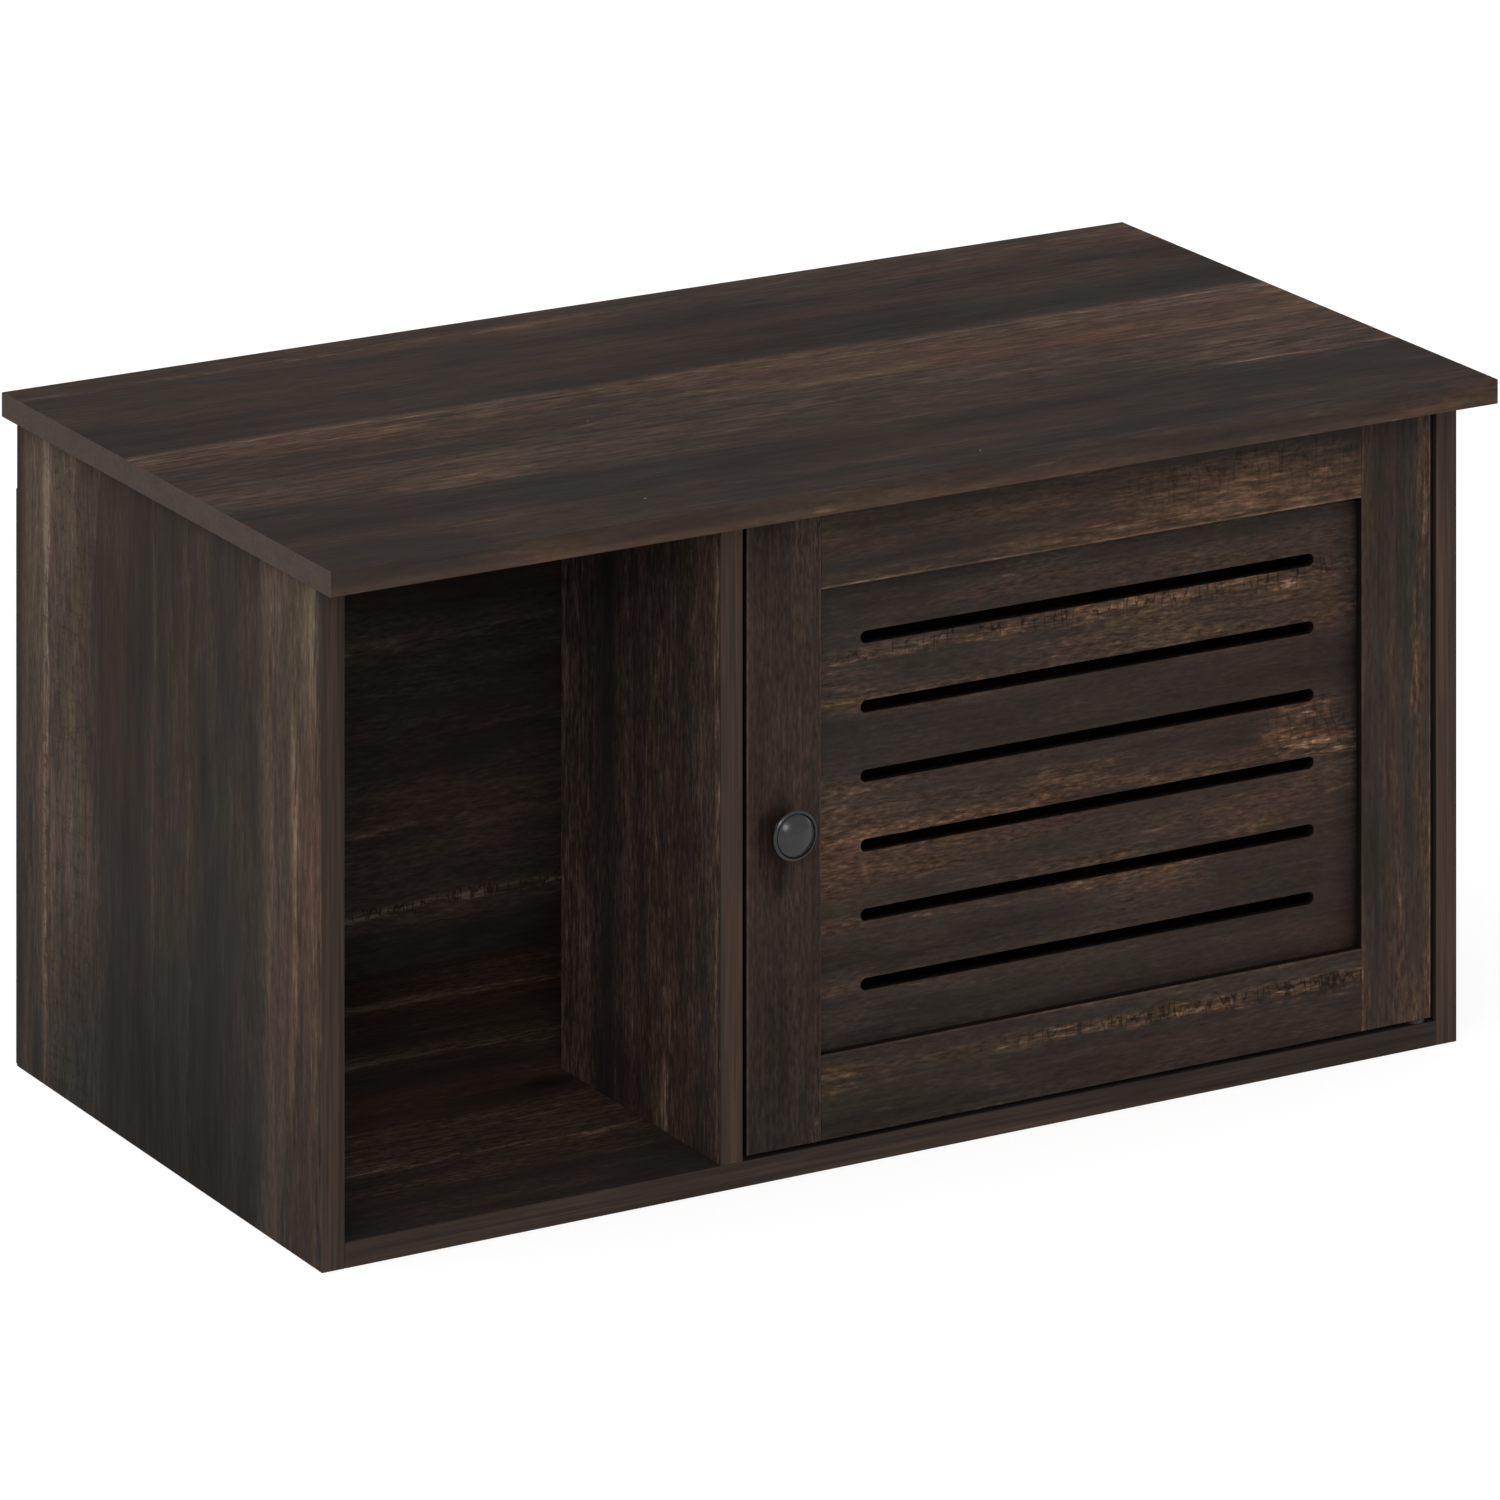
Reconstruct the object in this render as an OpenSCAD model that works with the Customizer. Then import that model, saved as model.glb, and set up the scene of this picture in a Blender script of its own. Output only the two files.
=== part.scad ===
// Litter box enclosure: a low flat-pack cabinet with an open compartment on the left, a half-depth
// divider that leaves a way through behind it, and a framed, slotted door on the right.
// X runs to the right, Y to the back and Z up. The origin is the centre of the footprint, on the floor.

/* [Cabinet] */
// Width over the two side panels
carcass_w = 838; // [700:1:1100]
// Depth of the side panels, without the back panel
carcass_d = 429; // [380:1:600]
// Height from the floor to the top surface
cabinet_h = 440; // [380:1:600]
// Thickness of every board
board_t = 16; // [15:0.5:19]
// How far the top passes each side panel
top_side_overhang = 11; // [0:0.5:20]
// How far the top passes the front of the side panels
top_front_overhang = 32; // [27:0.5:50]
// Clear width of the open compartment
cubby_w = 266; // [220:1:300]
// Depth of the divider, from the front
divider_d = 207; // [180:1:230]
// Height of the rail that ties the side panels at the top rear
rear_rail_h = 65; // [60:1:90]
// Width of the eased edge on each board
edge_ease = 0.4; // [0.2:0.1:0.8]

/* [Back panel] */
// Thickness of the back panel
back_t = 3; // [2.5:0.5:5]
// How far the back panel reaches up over the rear rail
back_lap = 16; // [12:1:24]
// How far the back panel stays inside the outer edges
back_inset = 1; // [0.5:0.5:3]

/* [Door] */
// Gap at the knob side, above and below the door
door_gap = 3; // [2:0.25:4]
// Gap at the hinge side of the door
hinge_gap = 4.5; // [4:0.25:6]
// Width of the door's stiles and rails
frame_w = 54; // [48:1:70]
// Thickness of the slotted panel
panel_t = 6; // [4:0.5:7]
// How far the slotted panel lies behind the front of the door
panel_recess = 6.5; // [4:0.25:6.5]
// Depth of the groove that holds the slotted panel
groove_d = 8; // [6:0.5:10]
// Play of the slotted panel and the tongues at the bottom of a groove
groove_play = 0.25; // [0.1:0.05:0.5]

/* [Slots] */
// Number of slots, one above the other
slot_count = 6; // [3:1:8]
// Height of a slot
slot_h = 8; // [6:0.5:12]
// Distance from a slot to the edge of the visible panel
slot_margin = 33; // [25:0.5:60]

/* [Knob] */
// Diameter of the knob's rim
knob_d = 32; // [26:1:36]
// How far the knob stands out of the door
knob_h = 21; // [19:0.5:24]
// Width of the raised ring round the rim
knob_ring_w = 2.1; // [1.7:0.1:2.8]
// Diameter of the knob's neck
knob_neck_d = 11; // [9:0.5:13]
// Diameter of the knob's machine screw
knob_screw_d = 4; // [3:0.5:5]
// Length of that screw in the knob
knob_screw_grip = 9; // [7:0.5:11]
// Radial play of that screw in the stile
knob_hole_play = 0.25; // [0.1:0.05:0.5]
// How far the knob's domed middle rises over the middle of its ring
knob_dome_h = 7; // [6:0.25:8]

/* [Door pivots] */
// Diameter of the steel pivot pins
pivot_d = 6; // [5:0.5:7]
// Distance from the door's edge to the pivot axis
pivot_inset = 8; // [7:0.25:8.5]
// Length of a pin inside the stile
pivot_grip = 25; // [18:1:40]
// Diameter of a pivot bush in the board
bush_d = 10; // [9:0.5:11]
// Depth of a pivot bush in the board
bush_depth = 12; // [9:0.5:13]
// Diameter of the bush's flange
bush_flange_d = 14; // [12.5:0.5:16]
// Radial play of a pin in its bush
pivot_play = 0.05; // [0.02:0.01:0.1]
// Room under the end of a pin in its bush
pivot_end_play = 1; // [0.5:0.25:2]
// Play between a flange and the door
flange_play = 0.1; // [0.05:0.05:0.25]

/* [Magnetic catch] */
// Width of the catch housing's block
catch_w = 30; // [26:1:36]
// Height of the catch housing
catch_h = 18; // [18:0.5:22]
// Depth of the catch housing
catch_d = 22; // [18:1:26]
// Width of each screw lug beside the block
catch_lug_w = 10; // [9:0.5:12]
// Thickness of the screw lugs
catch_lug_t = 3; // [2.5:0.5:4]
// Width of the strike plate on the door
strike_w = 38; // [34:1:44]
// Height of the strike plate
strike_h = 10; // [8:0.5:10]
// Thickness of the strike plate
strike_t = 1.2; // [1:0.1:1.6]
// Gap between the pole plates and the strike plate
magnet_gap = 0.1; // [0.1:0.05:0.3]
// Thickness of a pole plate
pole_t = 2; // [1.5:0.25:2.5]
// Width of a pole plate
pole_w = 18; // [17:0.5:20]
// How far the pole plates stand out of the housing
pole_proud = 0.6; // [0.4:0.1:1]
// Thickness of the magnet between the pole plates
magnet_t = 5; // [4:0.5:6]
// Width of the magnet
magnet_w = 14; // [12:0.5:16]

/* [Fittings] */
// Diameter of a cam disc
cam_d = 15; // [14:0.5:16]
// Thickness of a cam disc
cam_t = 12; // [11:0.25:12.5]
// Distance from the end of a board to its cam discs
cam_reach = 34; // [24:1:40]
// Distance from a board's front or rear edge to its cam discs
cam_edge = 60; // [50:1:70]
// Diameter of a cam bolt's thread
cam_thread_d = 5; // [4:0.5:6]
// Length of a cam bolt's thread
cam_thread_l = 11; // [9:0.5:12]
// Distance between neighbouring fittings in a joint
fitting_pitch = 32; // [28:1:36]
// Diameter of a wooden dowel
dowel_d = 8; // [6:0.5:9]
// Length of a wooden dowel
dowel_l = 30; // [25:1:35]
// Length of a dowel that sits in the face of a board
dowel_face_l = 11; // [9:0.5:12]
// Diameter of the divider's fixing screws
long_screw_d = 5; // [4:0.5:6]
// Length of the divider's fixing screws
long_screw_l = 50; // [40:1:60]
// Diameter of the small screws of the catch and its strike plate
small_screw_d = 3; // [2.5:0.25:3.5]
// Length of the small screws
small_screw_l = 12; // [10:0.5:13]
// Diameter of a cam bolt's shank
bolt_shank_d = 6; // [5:0.5:6]
// Diameter of a cam bolt's head
bolt_head_d = 7; // [6.5:0.25:7.5]
// Diameter of the hole for a cam bolt in the end of a board
bolt_hole_d = 8; // [8:0.25:9]
// Diameter of a back panel nail
nail_d = 1.6; // [1.4:0.1:2]
// Length of a back panel nail
nail_l = 16; // [14:0.5:17]
// Distance from the corners of the boards to the nearest nails
nail_edge = 42; // [30:1:60]
// Number of nails along the bottom panel and along the rear rail
nail_columns = 4; // [2:1:6]
// Number of nails along each side panel
nail_rows = 3; // [2:1:4]
// Radial play round everything that sits in a hole
seat_play = 0.05; // [0.02:0.01:0.1]
// Room at the bottom of a blind hole
end_play = 0.5; // [0.3:0.1:1]

/* [Hidden] */

$fn = 48;
wood = [0.17, 0.145, 0.13];
wood_front = [0.2, 0.17, 0.15];
steel = [0.72, 0.73, 0.75];
zinc = [0.62, 0.63, 0.65];
black = [0.12, 0.12, 0.13];
nylon = [0.19, 0.19, 0.2];
ferrite = [0.3, 0.3, 0.32];
beech = [0.78, 0.62, 0.42];

// A cut passes the face that it opens by this much
over = 1;

// Main planes of the cabinet
left_out = -carcass_w / 2;
left_in = left_out + board_t;
right_out = carcass_w / 2;
right_in = right_out - board_t;
front_y = top_front_overhang - (top_front_overhang + carcass_d + back_t) / 2;
rear_y = front_y + carcass_d;
top_z = cabinet_h - board_t;
divider_left = left_in + cubby_w;
divider_right = divider_left + board_t;
divider_rear = front_y + divider_d;
back_top_z = top_z - rear_rail_h + back_lap;

// Outer and inner edges of the door
door_left = divider_right + door_gap;
door_right = right_in - hinge_gap;
door_bottom = board_t + door_gap;
door_top = top_z - door_gap;
door_rear = front_y + board_t;
panel_left = door_left + frame_w;
panel_right = door_right - frame_w;
panel_bottom = door_bottom + frame_w;
panel_top = door_top - frame_w;
panel_front = front_y + panel_recess;
door_mid_z = (door_bottom + door_top) / 2;
stile_mid = door_left + frame_w / 2;
pivot_x = door_right - pivot_inset;
pivot_y = front_y + board_t / 2;

// Slots of the panel
slot_l = panel_right - panel_left - 2 * slot_margin;
slot_low = panel_bottom + slot_margin + slot_h / 2;
slot_high = panel_top - slot_margin - slot_h / 2;
slot_pitch = (slot_high - slot_low) / (slot_count - 1);

// Places of the fittings along the depth of a board
cam_front_y = front_y + cam_edge;
cam_rear_y = rear_y - cam_edge;
dowel_front_y = cam_front_y + fitting_pitch;
dowel_rear_y = cam_rear_y - fitting_pitch;
rail_y = rear_y - board_t / 2;
rail_cam_z = top_z - rear_rail_h / 2 + fitting_pitch / 2;
rail_dowel_z = rail_cam_z - fitting_pitch;
divider_x = (divider_left + divider_right) / 2;
divider_mid_y = front_y + divider_d / 2;
// A divider fitting lies this far before or behind its middle
divider_step = fitting_pitch * 1.5;

// Directions
right = [1, 0, 0];
front = [0, -1, 0];
up = [0, 0, 1];

// Every joint of two boards is a place on their meeting face, at half thickness of the board that it
// enters, the way into that board and, for a cam, the way that the disc faces
cam_y = [cam_front_y, cam_rear_y];
cams_bottom_left = [for (y = cam_y) [[left_in, y, board_t / 2], right, -up]];
cams_bottom_right = [for (j = cams_bottom_left) [mirrored(j[0]), -j[1], j[2]]];
cams_top_left = [for (y = cam_y) [[left_in - board_t / 2, y, top_z], -up, right]];
cams_top_right = [for (j = cams_top_left) [mirrored(j[0]), j[1], -j[2]]];
cams_divider = [for (s = [-1, 1]) [[divider_x, divider_mid_y + s * divider_step, top_z], -up, right]];
cams_rail_left = [[[left_in, rail_y, rail_cam_z], right, front]];
cams_rail_right = [for (j = cams_rail_left) [mirrored(j[0]), -j[1], j[2]]];
cams = concat(cams_bottom_left, cams_bottom_right, cams_top_left, cams_top_right, cams_divider,
    cams_rail_left, cams_rail_right);

dowel_y = [dowel_front_y, dowel_rear_y];
dowels_bottom_left = [for (y = dowel_y) [[left_in, y, board_t / 2], right]];
dowels_bottom_right = [for (j = dowels_bottom_left) [mirrored(j[0]), -j[1]]];
dowels_top_left = [for (y = dowel_y) [[left_in - board_t / 2, y, top_z], -up]];
dowels_top_right = [for (j = dowels_top_left) [mirrored(j[0]), j[1]]];
dowels_divider_top = [[[divider_x, divider_mid_y, top_z], -up]];
dowels_divider_bottom = [[[divider_x, divider_mid_y, board_t], up]];
dowels_rail_left = [[[left_in, rail_y, rail_dowel_z], right]];
dowels_rail_right = [for (j = dowels_rail_left) [mirrored(j[0]), -j[1]]];
dowels = concat(dowels_bottom_left, dowels_bottom_right, dowels_top_left, dowels_top_right,
    dowels_divider_top, dowels_divider_bottom, dowels_rail_left, dowels_rail_right);

// Feet of the two screws that hold the divider from below
long_screws = [for (s = [-1, 1]) [divider_x, divider_mid_y + s * divider_step, 0]];

// Nail places on the rear face of the back panel
nail_x = spread(left_in + nail_edge, right_in - nail_edge, nail_columns);
nail_z = spread(board_t + nail_edge, back_top_z - nail_edge, nail_rows);
nails_side = [for (x = [left_in - board_t / 2, right_in + board_t / 2], z = nail_z) [x, z]];
nails_bottom = [for (x = nail_x) [x, board_t / 2]];
nails_rail = [for (x = nail_x) [x, back_top_z - back_lap / 2]];
nails = concat(nails_side, nails_bottom, nails_rail);

// How far a cam bolt's head passes the middle of its disc, and the head's play in the disc
bolt_past = 2;
disc_play = 0.2;

// Magnetic catch under the top, over the knob stile
catch_front = door_rear + strike_t + magnet_gap;
strike_mid_z = top_z - catch_h / 2;
catch_screw_x = catch_w / 2 + catch_lug_w / 2;
pole_l = catch_d - 4;
magnet_l = pole_l - 3;

function mirrored(p) = [-p.x, p.y, p.z];

// Places at equal steps from one end to the other
function spread(from, to, count) = [for (i = [0:count - 1]) from + (to - from) * i / (count - 1)];

// Strip with round ends, with its middle at the origin
module round_strip(l, w) {
    reach = (l - w) / 2;
    polygon(concat(arc([reach, 0], w / 2, -90, 90, 14), arc([-reach, 0], w / 2, 90, 270, 14)));
}

// Points of an arc in the plane
function arc(middle, r, from, to, steps) = [for (i = [0:steps])
    let (a = from + (to - from) * i / steps) middle + r * [cos(a), sin(a)]];

// Frame of a joint: local X runs along the way in, local Z the way that a disc faces
module at_joint(place, along, facing) {
    side = cross(facing, along);
    multmatrix([
        [along.x, side.x, facing.x, place.x],
        [along.y, side.y, facing.y, place.y],
        [along.z, side.z, facing.z, place.z],
        [0, 0, 0, 1]]) children();
}

// Any direction square to another one
function square_to(v) = abs(v.z) > 0.5 ? right : up;

// Rod along local X
module rod(d, from, to) {
    translate([from, 0, 0]) rotate([0, 90, 0]) cylinder(d = d, h = to - from);
}

// Rectangle with eased corners, from the origin
module eased(w, h) {
    e = edge_ease;
    polygon([[e, 0], [w - e, 0], [w, e], [w, h - e], [w - e, h], [e, h], [0, h - e], [0, e]]);
}

// Board between two opposite corners, with all its edges eased
module board(low, high) {
    s = high - low;
    translate(low) intersection() {
        linear_extrude(s.z) eased(s.x, s.y);
        rotate([90, 0, 90]) linear_extrude(s.x) eased(s.y, s.z);
        translate([0, s.y, 0]) rotate([90, 0, 0]) linear_extrude(s.y) eased(s.x, s.z);
    }
}

// Holes for cam bolts in the face of the board that holds their thread
module bolt_holes(joints) {
    for (j = joints) at_joint(j[0], j[1], j[2])
        rod(cam_thread_d + 2 * seat_play, -cam_thread_l - end_play, over);
}

// Holes for cam bolts and discs in the board that holds the discs
module disc_holes(joints) {
    for (j = joints) at_joint(j[0], j[1], j[2]) {
        rod(bolt_hole_d, -over, cam_reach);
        translate([cam_reach, 0, board_t / 2 - cam_t - end_play])
            cylinder(d = cam_d + 2 * seat_play, h = cam_t + end_play + over);
    }
}

// Dowel holes in the face of a board
module face_dowel_holes(joints) {
    for (j = joints) at_joint(j[0], j[1], square_to(j[1]))
        rod(dowel_d + 2 * seat_play, -dowel_face_l, over);
}

// Dowel holes in the end of a board
module end_dowel_holes(joints) {
    for (j = joints) at_joint(j[0], j[1], square_to(j[1]))
        rod(dowel_d + 2 * seat_play, -over, dowel_l - dowel_face_l + end_play);
}

// Bore for a pivot bush, seen from the meeting face at its local origin
module bush_hole() {
    translate([0, 0, -bush_depth]) cylinder(d = bush_d + 2 * seat_play, h = bush_depth + over);
}

// Holes for nails along the rear edges of the boards
module nail_holes(places) {
    for (p = places) translate([p.x, rear_y + over, p.y])
        rotate([90, 0, 0]) cylinder(d = nail_d + 2 * seat_play, h = nail_l - back_t + over + end_play);
}

module top_panel() {
    color(wood) difference() {
        board([left_out - top_side_overhang, front_y - top_front_overhang, top_z],
            [right_out + top_side_overhang, rear_y, cabinet_h]);
        bolt_holes(concat(cams_top_left, cams_top_right, cams_divider));
        face_dowel_holes(concat(dowels_top_left, dowels_top_right, dowels_divider_top));
        translate([pivot_x, pivot_y, top_z]) mirror([0, 0, 1]) bush_hole();
        at_catch() for (s = [-1, 1]) translate([s * catch_screw_x, catch_d / 2, -over])
            cylinder(d = small_screw_d + 2 * seat_play, h = small_screw_l - catch_lug_t + over + end_play);
    }
}

module left_side_panel() {
    color(wood) difference() {
        board([left_out, front_y, 0], [left_in, rear_y, top_z]);
        bolt_holes(concat(cams_bottom_left, cams_rail_left));
        disc_holes(cams_top_left);
        face_dowel_holes(concat(dowels_bottom_left, dowels_rail_left));
        end_dowel_holes(dowels_top_left);
        nail_holes(nails_side);
    }
}

module right_side_panel() {
    color(wood) difference() {
        board([right_in, front_y, 0], [right_out, rear_y, top_z]);
        bolt_holes(concat(cams_bottom_right, cams_rail_right));
        disc_holes(cams_top_right);
        face_dowel_holes(concat(dowels_bottom_right, dowels_rail_right));
        end_dowel_holes(dowels_top_right);
        nail_holes(nails_side);
    }
}

module bottom_panel() {
    color(wood) difference() {
        board([left_in, front_y, 0], [right_in, rear_y, board_t]);
        disc_holes(concat(cams_bottom_left, cams_bottom_right));
        end_dowel_holes(concat(dowels_bottom_left, dowels_bottom_right));
        face_dowel_holes(dowels_divider_bottom);
        translate([pivot_x, pivot_y, board_t]) bush_hole();
        for (p = long_screws) translate(p) long_screw_shape(seat_play, over);
        nail_holes(nails_bottom);
    }
}

module divider_panel() {
    color(wood) difference() {
        board([divider_left, front_y, board_t], [divider_right, divider_rear, top_z]);
        disc_holes(cams_divider);
        end_dowel_holes(concat(dowels_divider_top, dowels_divider_bottom));
        for (p = long_screws) translate(p)
            cylinder(d = long_screw_d + 2 * seat_play, h = long_screw_l + end_play);
    }
}

module rear_top_rail() {
    color(wood) difference() {
        board([left_in, rear_y - board_t, top_z - rear_rail_h], [right_in, rear_y, top_z]);
        disc_holes(concat(cams_rail_left, cams_rail_right));
        end_dowel_holes(concat(dowels_rail_left, dowels_rail_right));
        nail_holes(nails_rail);
    }
}

module back_panel() {
    color(wood) difference() {
        translate([left_out + back_inset, rear_y, back_inset])
            cube([carcass_w - 2 * back_inset, back_t, back_top_z - back_inset]);
        at_nails() nail_shape(seat_play, over);
    }
}

// Every nail place, with local Z into the board
module at_nails() {
    for (p = nails) translate([p.x, rear_y + back_t, p.y]) rotate([90, 0, 0]) children();
}

// Nail along local Z, with the top of its head at the origin; also the shape of its hole
module nail_shape(play, past) {
    head_h = 0.6;
    translate([0, 0, -past]) cylinder(d = 2.4 * nail_d + 2 * play, h = head_h + past);
    cylinder(d = nail_d + 2 * play, h = nail_l + past);
}

// Countersunk screw upwards from the floor; also the shape of its hole
module long_screw_shape(play, past) {
    head_d = 1.8 * long_screw_d + 2 * play;
    shank_d = long_screw_d + 2 * play;
    head_h = 1.5;
    translate([0, 0, -past]) cylinder(d = head_d, h = head_h + past);
    translate([0, 0, head_h]) cylinder(d1 = head_d, d2 = shank_d, h = (head_d - shank_d) / 2);
    cylinder(d = shank_d, h = long_screw_l + past);
}

// Groove for the slotted panel along local X, open towards local Z, from its bottom at the origin
module groove(l) {
    translate([-over, 0, 0]) cube([l + 2 * over, panel_t + 2 * seat_play, groove_d + over]);
}

// Stile of the door between two heights, with its groove towards the panel
module stile(left, groove_side) {
    groove_x = groove_side > 0 ? left + frame_w - groove_d : left - over;
    difference() {
        board([left, front_y, door_bottom], [left + frame_w, door_rear, door_top]);
        translate([groove_x, panel_front - seat_play, door_bottom - over])
            cube([groove_d + over, panel_t + 2 * seat_play, door_top - door_bottom + 2 * over]);
    }
}

module door_knob_stile() {
    color(wood_front) difference() {
        stile(door_left, 1);
        translate([stile_mid, front_y - over, door_mid_z]) rotate([-90, 0, 0])
            cylinder(d = knob_screw_d + 2 * knob_hole_play, h = board_t + 2 * over);
        translate([stile_mid, door_rear + over, strike_mid_z]) rotate([90, 0, 0])
            cylinder(d = small_screw_d + 2 * seat_play, h = small_screw_l - strike_t + over + end_play);
    }
}

module door_hinge_stile() {
    color(wood_front) difference() {
        stile(door_right - frame_w, -1);
        for (z = [door_bottom, door_top]) translate([pivot_x, pivot_y, z])
            cylinder(d = pivot_d + 2 * seat_play, h = 2 * pivot_grip, center = true);
    }
}

// Rail of the door between its stiles, with a tongue at each end and its groove along the panel
module rail(low_z, groove_low_z) {
    tongue = groove_d - groove_play;
    difference() {
        union() {
            board([panel_left, front_y, low_z], [panel_right, door_rear, low_z + frame_w]);
            translate([panel_left - tongue, panel_front, low_z])
                cube([panel_right - panel_left + 2 * tongue, panel_t, frame_w]);
        }
        translate([panel_left - groove_d, panel_front - seat_play, groove_low_z])
            groove(panel_right - panel_left + 2 * groove_d);
    }
}

module door_top_rail() {
    color(wood_front) rail(panel_top, panel_top - over);
}

module door_bottom_rail() {
    color(wood_front) rail(door_bottom, panel_bottom - groove_d);
}

module door_slotted_panel() {
    edge = groove_d - groove_play;
    mid_x = (panel_left + panel_right) / 2;
    color(wood_front) translate([0, panel_front + panel_t, 0]) rotate([90, 0, 0]) linear_extrude(panel_t)
        difference() {
            translate([panel_left - edge, panel_bottom - edge])
                square([panel_right - panel_left + 2 * edge, panel_top - panel_bottom + 2 * edge]);
            for (k = [0:slot_count - 1]) translate([mid_x, slot_low + k * slot_pitch])
                round_strip(slot_l, slot_h);
        }
}

// Half section of the knob, radius across and height up: foot, waist, flared underside, raised ring
// round the rim, groove and domed middle
module knob_section() {
    rim_r = knob_d / 2;
    neck_r = knob_neck_d / 2;
    ring_r = knob_ring_w / 2;
    ring_z = knob_h - knob_dome_h;
    rim_wall = 0.6;
    waist_z = 4;
    flare_w = rim_r - ring_r - neck_r;
    flare_h = ring_z - ring_r - rim_wall - waist_z;
    groove_w = 0.8;
    groove_low = 0.6;
    dome_r = rim_r - knob_ring_w - groove_w;
    dome_curve = (dome_r * dome_r + knob_dome_h * knob_dome_h) / (2 * knob_dome_h);
    dome_angle = asin(dome_r / dome_curve);
    polygon(concat(
        [[0, 0], [neck_r + 2, 0], [neck_r + 2, 1]],
        arc([neck_r + 3, waist_z], 3, 270 - 18, 180, 4),
        [for (a = [10:10:80]) [rim_r - ring_r - flare_w * cos(a), waist_z + flare_h * sin(a)]],
        arc([rim_r - ring_r, ring_z], ring_r, -60, 180, 12),
        [[dome_r, ring_z - groove_low]],
        arc([0, knob_h - dome_curve], dome_curve, 90 - dome_angle, 90, 10)));
}

module door_knob() {
    color(black) translate([stile_mid, front_y, door_mid_z]) rotate([90, 0, 0]) difference() {
        rotate_extrude($fn = 96) knob_section();
        translate([0, 0, -over])
            cylinder(d = knob_screw_d + 2 * seat_play, h = knob_screw_grip + over + end_play);
    }
}

module knob_screw() {
    color(zinc) translate([stile_mid, door_rear, door_mid_z]) rotate([90, 0, 0]) {
        cylinder(d = knob_screw_d, h = board_t + knob_screw_grip);
        translate([0, 0, -2.4]) difference() {
            cylinder(d1 = 1.6 * knob_screw_d, d2 = 2 * knob_screw_d, h = 2.4);
            cross_recess(0.9 * knob_screw_d, 1.2);
        }
    }
}

// Cross for a screwdriver, cut upwards from the local origin
module cross_recess(w, depth) {
    arm = w / 4;
    translate([0, 0, depth / 2 - over / 2]) {
        cube([w, arm, depth + over], center = true);
        cube([arm, w, depth + over], center = true);
    }
}

// Lower pivot about its axis, with the bottom of the door at the local origin
module pivot_pin() {
    reach = door_gap + bush_depth - pivot_end_play;
    color(steel) translate([0, 0, -reach]) cylinder(d = pivot_d, h = reach + pivot_grip);
}

module pivot_bush() {
    flange_t = door_gap - flange_play;
    color(nylon) translate([0, 0, -door_gap]) difference() {
        union() {
            translate([0, 0, -bush_depth]) cylinder(d = bush_d, h = bush_depth + flange_t);
            cylinder(d = bush_flange_d, h = flange_t);
        }
        translate([0, 0, -bush_depth - over])
            cylinder(d = pivot_d + 2 * pivot_play, h = bush_depth + flange_t + 2 * over);
    }
}

module at_lower_pivot() {
    translate([pivot_x, pivot_y, door_bottom]) children();
}

module at_upper_pivot() {
    translate([pivot_x, pivot_y, door_top]) mirror([0, 0, 1]) children();
}

module lower_pivot_pin() {
    at_lower_pivot() pivot_pin();
}

module upper_pivot_pin() {
    at_upper_pivot() pivot_pin();
}

module lower_pivot_bush() {
    at_lower_pivot() pivot_bush();
}

module upper_pivot_bush() {
    at_upper_pivot() pivot_bush();
}

// Frame of the magnetic catch: its front, top and middle meet at the local origin
module at_catch() {
    translate([stile_mid, catch_front, top_z]) children();
}

module catch_housing() {
    hole_d = small_screw_d + 2 * seat_play;
    pocket = [pole_w + 2 * seat_play, pole_l + seat_play + over, magnet_t + 2 * (pole_t + seat_play)];
    color(black) at_catch() difference() {
        union() {
            translate([0, pole_proud, -catch_h]) linear_extrude(catch_h) block_outline();
            translate([0, catch_d / 2, -catch_lug_t]) linear_extrude(catch_lug_t)
                round_strip(catch_w + 2 * catch_lug_w, catch_lug_w);
        }
        translate([0, pocket.y / 2 - over, -catch_h / 2]) cube(pocket, center = true);
        for (s = [-1, 1]) translate([s * catch_screw_x, catch_d / 2, -catch_lug_t - over])
            cylinder(d = hole_d, h = catch_lug_t + 2 * over);
    }
}

// Outline of the catch's block from above, with its rear corners cut off
module block_outline() {
    c = 3;
    w = catch_w / 2;
    d = catch_d - pole_proud;
    polygon([[-w, 0], [w, 0], [w, d - c], [w - c, d], [c - w, d], [-w, d - c]]);
}

module catch_pole_plates() {
    color(steel) at_catch() for (s = [-1, 1])
        translate([0, pole_l / 2, s * (magnet_t + pole_t) / 2 - catch_h / 2])
            cube([pole_w, pole_l, pole_t], center = true);
}

module catch_magnet() {
    color(ferrite) at_catch() translate([0, pole_l - magnet_l / 2, -catch_h / 2])
        cube([magnet_w, magnet_l, magnet_t], center = true);
}

// Small round-head screw along local Z, with the seat of its head at the origin
module small_screw() {
    cylinder(d = small_screw_d, h = small_screw_l);
    translate([0, 0, -1.8]) difference() {
        cylinder(d1 = 1.4 * small_screw_d, d2 = 1.9 * small_screw_d, h = 1.8);
        cross_recess(0.8 * small_screw_d, 0.9);
    }
}

module catch_screws() {
    color(zinc) at_catch() for (s = [-1, 1]) translate([s * catch_screw_x, catch_d / 2, -catch_lug_t])
        small_screw();
}

module strike_plate() {
    color(zinc) translate([stile_mid, door_rear + strike_t, strike_mid_z]) rotate([90, 0, 0]) difference() {
        linear_extrude(strike_t) round_strip(strike_w, strike_h);
        flat_screw_shape(seat_play, over);
    }
}

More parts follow.
